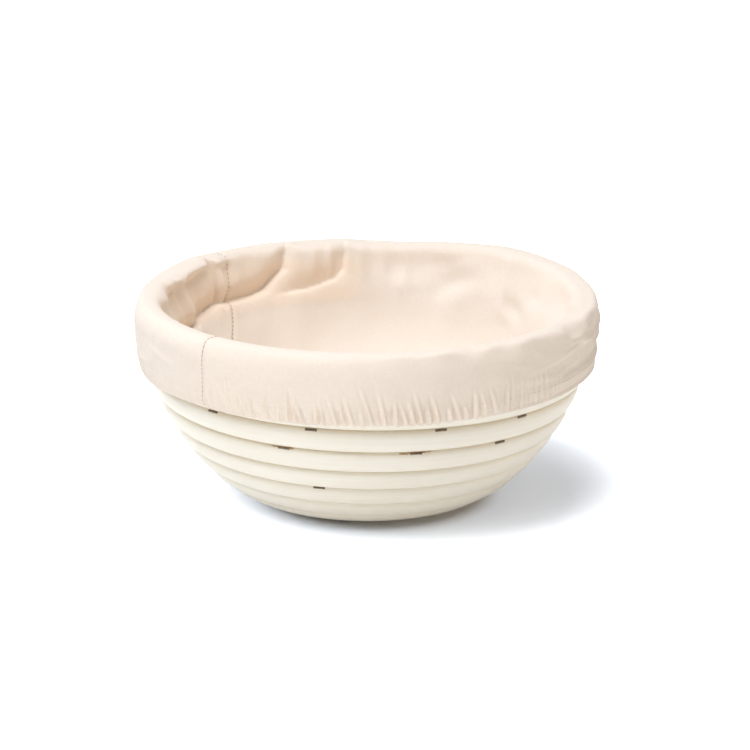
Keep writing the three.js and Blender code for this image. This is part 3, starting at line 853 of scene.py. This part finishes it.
def cupLightAndShadeAt(angle, along):  # one for painted light on the wall of the cup, minus one for painted shade among its folds and nought elsewhere
    t = cupLightAndShadePlaces
    fromTop = along - cupEnd
    foldShade = 1 - ease(*t["folds"], abs(turnFrom(angle, t["foldsAt"])))
    foldShade *= ease(*t["foldsFrom"], fromTop)
    return ease(*t["wall"], along) * (1 - ease(*t["top"], fromTop)) * (1 - 2 * foldShade)


def evenCloth():  # the flat cloth on its stretched radius, cut along the seam
    bm, shares = paramGrid(liner["columns"], len(clothRows) - 1)
    wallUv = bm.loops.layers.uv.new("wallWeave")
    floorUv = bm.loops.layers.uv.new("floorWeave")
    alongLayer = bm.verts.layers.float.new("along")
    floorLayer = bm.verts.layers.float.new("onFloor")
    cupLightAndShadeLayer = bm.verts.layers.float.new("cupLightAndShade")
    lengths = [clothLengths[round(share[1] * (len(clothRows) - 1))] for share in shares]
    for face in bm.faces:
        for loop in face.loops:
            angle = shares[loop.vert.index][0] * 2 * math.pi
            along = lengths[loop.vert.index] * mm
            loop[wallUv].uv = (angle * liner["crest"][0] * mm, along)
            loop[floorUv].uv = (along * math.sin(angle), along * math.cos(angle))
    for vert, (share, _), along in zip(bm.verts, shares, lengths):
        angle = share * 2 * math.pi
        reach = seamReach(along) * mm
        vert[alongLayer] = along
        vert[floorLayer] = 1 - ease(45, 80, along)
        vert[cupLightAndShadeLayer] = cupLightAndShadeAt(math.degrees(angle), along)
        vert.co = Vector((reach * math.sin(angle), -reach * math.cos(angle), along * mm))
    bmesh.ops.remove_doubles(bm, verts=bm.verts, dist=1e-7)
    refineCloth(bm, alongLayer)
    everything = bm.verts[:] + bm.edges[:] + bm.faces[:]
    seam = seamSide * -liner["seamOffset"] * mm
    bmesh.ops.bisect_plane(bm, geom=everything, dist=1e-6, plane_co=seam, plane_no=seamSide)
    return bm


def buildPanel(name, sideways):
    bm = evenCloth()
    seam = -liner["seamOffset"] * mm
    away = [f for f in bm.faces if (f.calc_center_median().dot(seamSide) - seam) * sideways < 0]
    bmesh.ops.delete(bm, geom=away, context="FACES")
    alongLayer = bm.verts.layers.float["along"]
    for vert in bm.verts:
        vert.co = clothPoint(math.degrees(math.atan2(vert.co.x, -vert.co.y)), vert[alongLayer]) * mm
    bmesh.ops.recalc_face_normals(bm, faces=bm.faces)
    bm.normal_update()
    facing = sum(f.normal.z * f.calc_area() for f in bm.faces if f.verts[0][alongLayer] < cupEnd)
    if facing < 0:
        bmesh.ops.reverse_faces(bm, faces=bm.faces)
    piece = addPiece(name, bm, cotton, "liner")
    body = piece.modifiers.new("thickness", "SOLIDIFY")
    body.thickness = liner["thickness"] * mm
    body.offset = -1
    return piece


mainPanel = buildPanel("liner_main_panel", 1)
sidePanel = buildPanel("liner_side_panel", -1)
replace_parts(mainPanel, "cup_main_panel", "skirt_main_panel")
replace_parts(sidePanel, "cup_side_panel", "skirt_side_panel")
for piece in (mainPanel, sidePanel):
    faces = piece.data.polygons
    print(piece.name, round(sum(face.area for face in faces), 4), "square metres", len(faces), "faces")

# Thread: small humps laid along the seam and round the casing
stitching = dict(
    seamStep=1.7, seamSize=(0.56, 0.2, 0.17), casingStep=2.7, casingSize=(0.9, 0.2, 0.17), overlap=0.16,
)


# Place on the cloth, with axes along the stitching, across it and out of the cloth
def clothFrame(angle, along, ahead):
    here = clothPoint(angle, along)
    onward = (clothPoint(*ahead) - here).normalized()
    nudge = 0.4
    up = clothPoint(angle, along + nudge) - clothPoint(angle, along - nudge)
    side = clothPoint(angle + nudge, along) - clothPoint(angle - nudge, along)
    out = up.cross(side).normalized()
    return here, onward, out.cross(onward).normalized(), out


def sewStitches(name, places, size, material):
    bm = bmesh.new()
    for (angle, along), ahead in zip(places, places[1:]):
        here, onward, across, out = clothFrame(angle, along, ahead)
        turn = Matrix((onward * size[0], across * size[1], out * size[2])).transposed().to_4x4() * mm
        turn[3][3] = 1.0
        turn.translation = (here + out * stitching["overlap"]) * mm
        bmesh.ops.create_uvsphere(bm, u_segments=8, v_segments=5, radius=1.0, matrix=turn)
    bmesh.ops.recalc_face_normals(bm, faces=bm.faces)
    piece = addPiece(name, bm, material, "liner")
    return piece


def seamPlaces(step):  # along the seam from the front hem, down into the bowl and up to the back hem
    lowest = lengthWhere(seamReach, liner["seamOffset"]) + 0.02
    lows = [lowest + (skirtEnd - lowest) * (i / 400) ** 2 for i in range(401)]
    turn = []
    for along in lows:
        share = min(1.0, liner["seamOffset"] / seamReach(along))
        turn.append((along, math.degrees(math.asin(share))))
    fine = [(liner["seamTurn"] - angle, along) for along, angle in reversed(turn)]
    fine += [(liner["seamTurn"] - 180 + angle, along) for along, angle in turn]
    places, last = [], None
    for place in fine:
        here = clothPoint(*place)
        if last is None or (here - last).length >= step:
            places.append(place)
            last = here
    return places


seamLine = seamPlaces(stitching["seamStep"])
seamStitches = sewStitches("seam_stitches", seamLine, stitching["seamSize"], seamThread)
casingAlong = skirtEnd - (liner["casing"] - (clothSpot(skirtEnd).y - liner["hem"]))
stitchCount = round(2 * math.pi * liner["skirt"][0][0] / stitching["casingStep"])
casingPlaces = [(-180 + 360 * i / stitchCount, casingAlong) for i in range(stitchCount + 1)]
casingStitches = sewStitches("casing_stitches", casingPlaces, stitching["casingSize"], hemThread)

# Elastic band lying loose in the casing
elasticBand = dict(width=5.0, thickness=0.6, low=60.6, offCane=1.5, steps=180)
bm = bmesh.new()
ends = []
for z in (elasticBand["low"], elasticBand["low"] + elasticBand["width"]):
    ends.append(bm.verts.new(((outerCane(z) + elasticBand["offCane"]) * mm, 0, z * mm)))
edge = bm.edges.new(ends)
bmesh.ops.spin(
    bm, geom=ends + [edge], cent=(0, 0, 0), axis=(0, 0, 1), angle=2 * math.pi, steps=elasticBand["steps"],
    use_merge=True,
)
bmesh.ops.remove_doubles(bm, verts=bm.verts, dist=1e-7)
bmesh.ops.recalc_face_normals(bm, faces=bm.faces)
hemElastic = addPiece("hem_band", bm, bandElastic, "liner")
body = hemElastic.modifiers.new("thickness", "SOLIDIFY")
body.thickness = elasticBand["thickness"] * mm
body.offset = 0
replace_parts(hemElastic, "hem_elastic")
print("liner sewn")

# Camera at the photograph's place
photoView = dict(
    elevation=17.04, distance=1.3384, lookAt=(0, 0, 0.042), focal=3114.7, centre=(367.06, 396.14), side=750,
)
cameraData = bpy.data.cameras.new("photoCamera")
camera = bpy.data.objects.new("photoCamera", cameraData)
scene.collection.objects.link(camera)
tilt = math.radians(photoView["elevation"])
backwards = Vector((0, -math.cos(tilt), math.sin(tilt)))
camera.location = Vector(photoView["lookAt"]) + backwards * photoView["distance"]
camera.rotation_euler = (math.pi / 2 - tilt, 0, 0)
cameraData.sensor_width = 36
cameraData.lens = 36 * photoView["focal"] / photoView["side"]
cameraData.shift_x = (photoView["side"] / 2 - photoView["centre"][0]) / photoView["side"]
cameraData.shift_y = (photoView["centre"][1] - photoView["side"] / 2) / photoView["side"]
scene.camera = camera

# Floor, world and lamps
# Painted light on the floor: a glow seen only by the camera lightens the real shadow near the base with a
# bluish tint, and whitens the floor past a ring round the basket so that the shadow ends short
studio = dict(
    floorColour=0.95, floorRadius=6, sky=0.06, nearGlow=0.32, nearGlowColour=(0.72, 0.84, 1.0), farGlow=0.6,
    nearCentre=(0.004, -0.004, 0), nearRing=(0.043, 0.055),
    shadowCentre=(0.025, 0.016, 0), shadowEdge=(0.070, 0.109),
)


def seenDirectly(tree):  # one where the camera, a gloss or a clear piece looks at it
    rays = tree.nodes.new("ShaderNodeLightPath")
    seen = calc(tree, "MAXIMUM", rays.outputs["Is Glossy Ray"], rays.outputs["Is Transmission Ray"])
    return calc(tree, "MAXIMUM", rays.outputs["Is Camera Ray"], seen)


bm = bmesh.new()
bmesh.ops.create_circle(bm, cap_ends=True, segments=64, radius=studio["floorRadius"])
floorMesh = bpy.data.meshes.new("floor")
bm.to_mesh(floorMesh)
bm.free()
floor = bpy.data.objects.new("floor", floorMesh)
scene.collection.objects.link(floor)
floorPaint = bpy.data.materials.new("whiteFloor")
floorPaint.use_nodes = True
tree = floorPaint.node_tree
tree.nodes.remove(tree.nodes["Principled BSDF"])
matt = addNode(tree, "BsdfDiffuse", Color=(studio["floorColour"],) * 3 + (1,))
glow = tree.nodes.new("ShaderNodeEmission")
where = tree.nodes.new("ShaderNodeTexCoord")
shares = []
for centre, edge in (("nearCentre", "nearRing"), ("shadowCentre", "shadowEdge")):
    apart = tree.nodes.new("ShaderNodeVectorMath")
    apart.operation = "DISTANCE"
    apart.inputs[1].default_value = studio[centre]
    link(tree, where.outputs["Object"], apart.inputs[0])
    share = addNode(tree, "MapRange", interpolation_type="SMOOTHSTEP")
    link(tree, apart.outputs["Value"], share.inputs[0])
    share.inputs[1].default_value, share.inputs[2].default_value = studio[edge]
    shares.append(share.outputs[0])
# painted light on the floor, in rings round the basket
near = calc(tree, "MULTIPLY", shares[0], studio["nearGlow"])
level = calc(tree, "MULTIPLY_ADD", shares[1], studio["farGlow"], near)
link(tree, calc(tree, "MULTIPLY", seenDirectly(tree), level), glow.inputs["Strength"])
link(tree, blendColour(tree, shares[1], studio["nearGlowColour"], (1, 1, 1)), glow.inputs["Color"])
both = tree.nodes.new("ShaderNodeAddShader")
link(tree, matt.outputs[0], both.inputs[0])
link(tree, glow.outputs[0], both.inputs[1])
link(tree, both.outputs[0], tree.nodes["Material Output"].inputs["Surface"])
floor.data.materials.append(floorPaint)

world = bpy.data.worlds.new("paleRoom")
scene.world = world
world.use_nodes = True
tree = world.node_tree
backdrop = tree.nodes["Background"]
backdrop.inputs["Color"].default_value = (1, 1, 1, 1)
strength = calc(tree, "MULTIPLY_ADD", seenDirectly(tree), 1 - studio["sky"], studio["sky"])
link(tree, strength, backdrop.inputs["Strength"])

lamps = [
    dict(name="topPanel", place=(-0.05, 0.0, 1.3), size=0.7, power=8.5, colour=(0.96, 1.0, 1.08)),
    dict(name="topLeftPanel", place=(-0.55, 0.0, 1.15), size=0.6, power=1.2, colour=(0.9, 1.0, 1.13)),
    dict(name="leftFrontPanel", place=(-0.74, -0.69, 0.88), size=0.65, power=3.9, colour=(0.92, 0.99, 1.1)),
    dict(name="frontPanel", place=(-0.24, -0.62, 1.12), size=0.7, power=5.7, colour=(0.96, 1.0, 1.06)),
    dict(name="rightPanel", place=(1.2, 0.05, 0.45), size=0.7, power=2.8, colour=(1.14, 0.95, 0.76)),
    dict(name="rightLowPanel", place=(1.25, -0.15, 0.09), size=0.25, power=0.8, colour=(0.8, 1.0, 1.25)),
    dict(name="leftBackPanel", place=(-0.9, 0.8, 0.5), size=0.7, power=5.0, colour=(0.98, 1.0, 1.06)),
    dict(name="lowPanel", place=(-0.1, -1.25, 0.07), size=0.3, power=3.4, colour=(1.04, 1.0, 0.92)),
]
for lamp in lamps:
    data = bpy.data.lights.new(lamp["name"], "AREA")
    data.size = lamp["size"]
    data.energy = lamp["power"]
    data.color = lamp["colour"]
    light = bpy.data.objects.new(lamp["name"], data)
    light.location = lamp["place"]
    light.rotation_euler = (Vector((0, 0, 0.05)) - light.location).to_track_quat("-Z", "Y").to_euler()
    scene.collection.objects.link(light)
print("camera, floor and lamps placed")
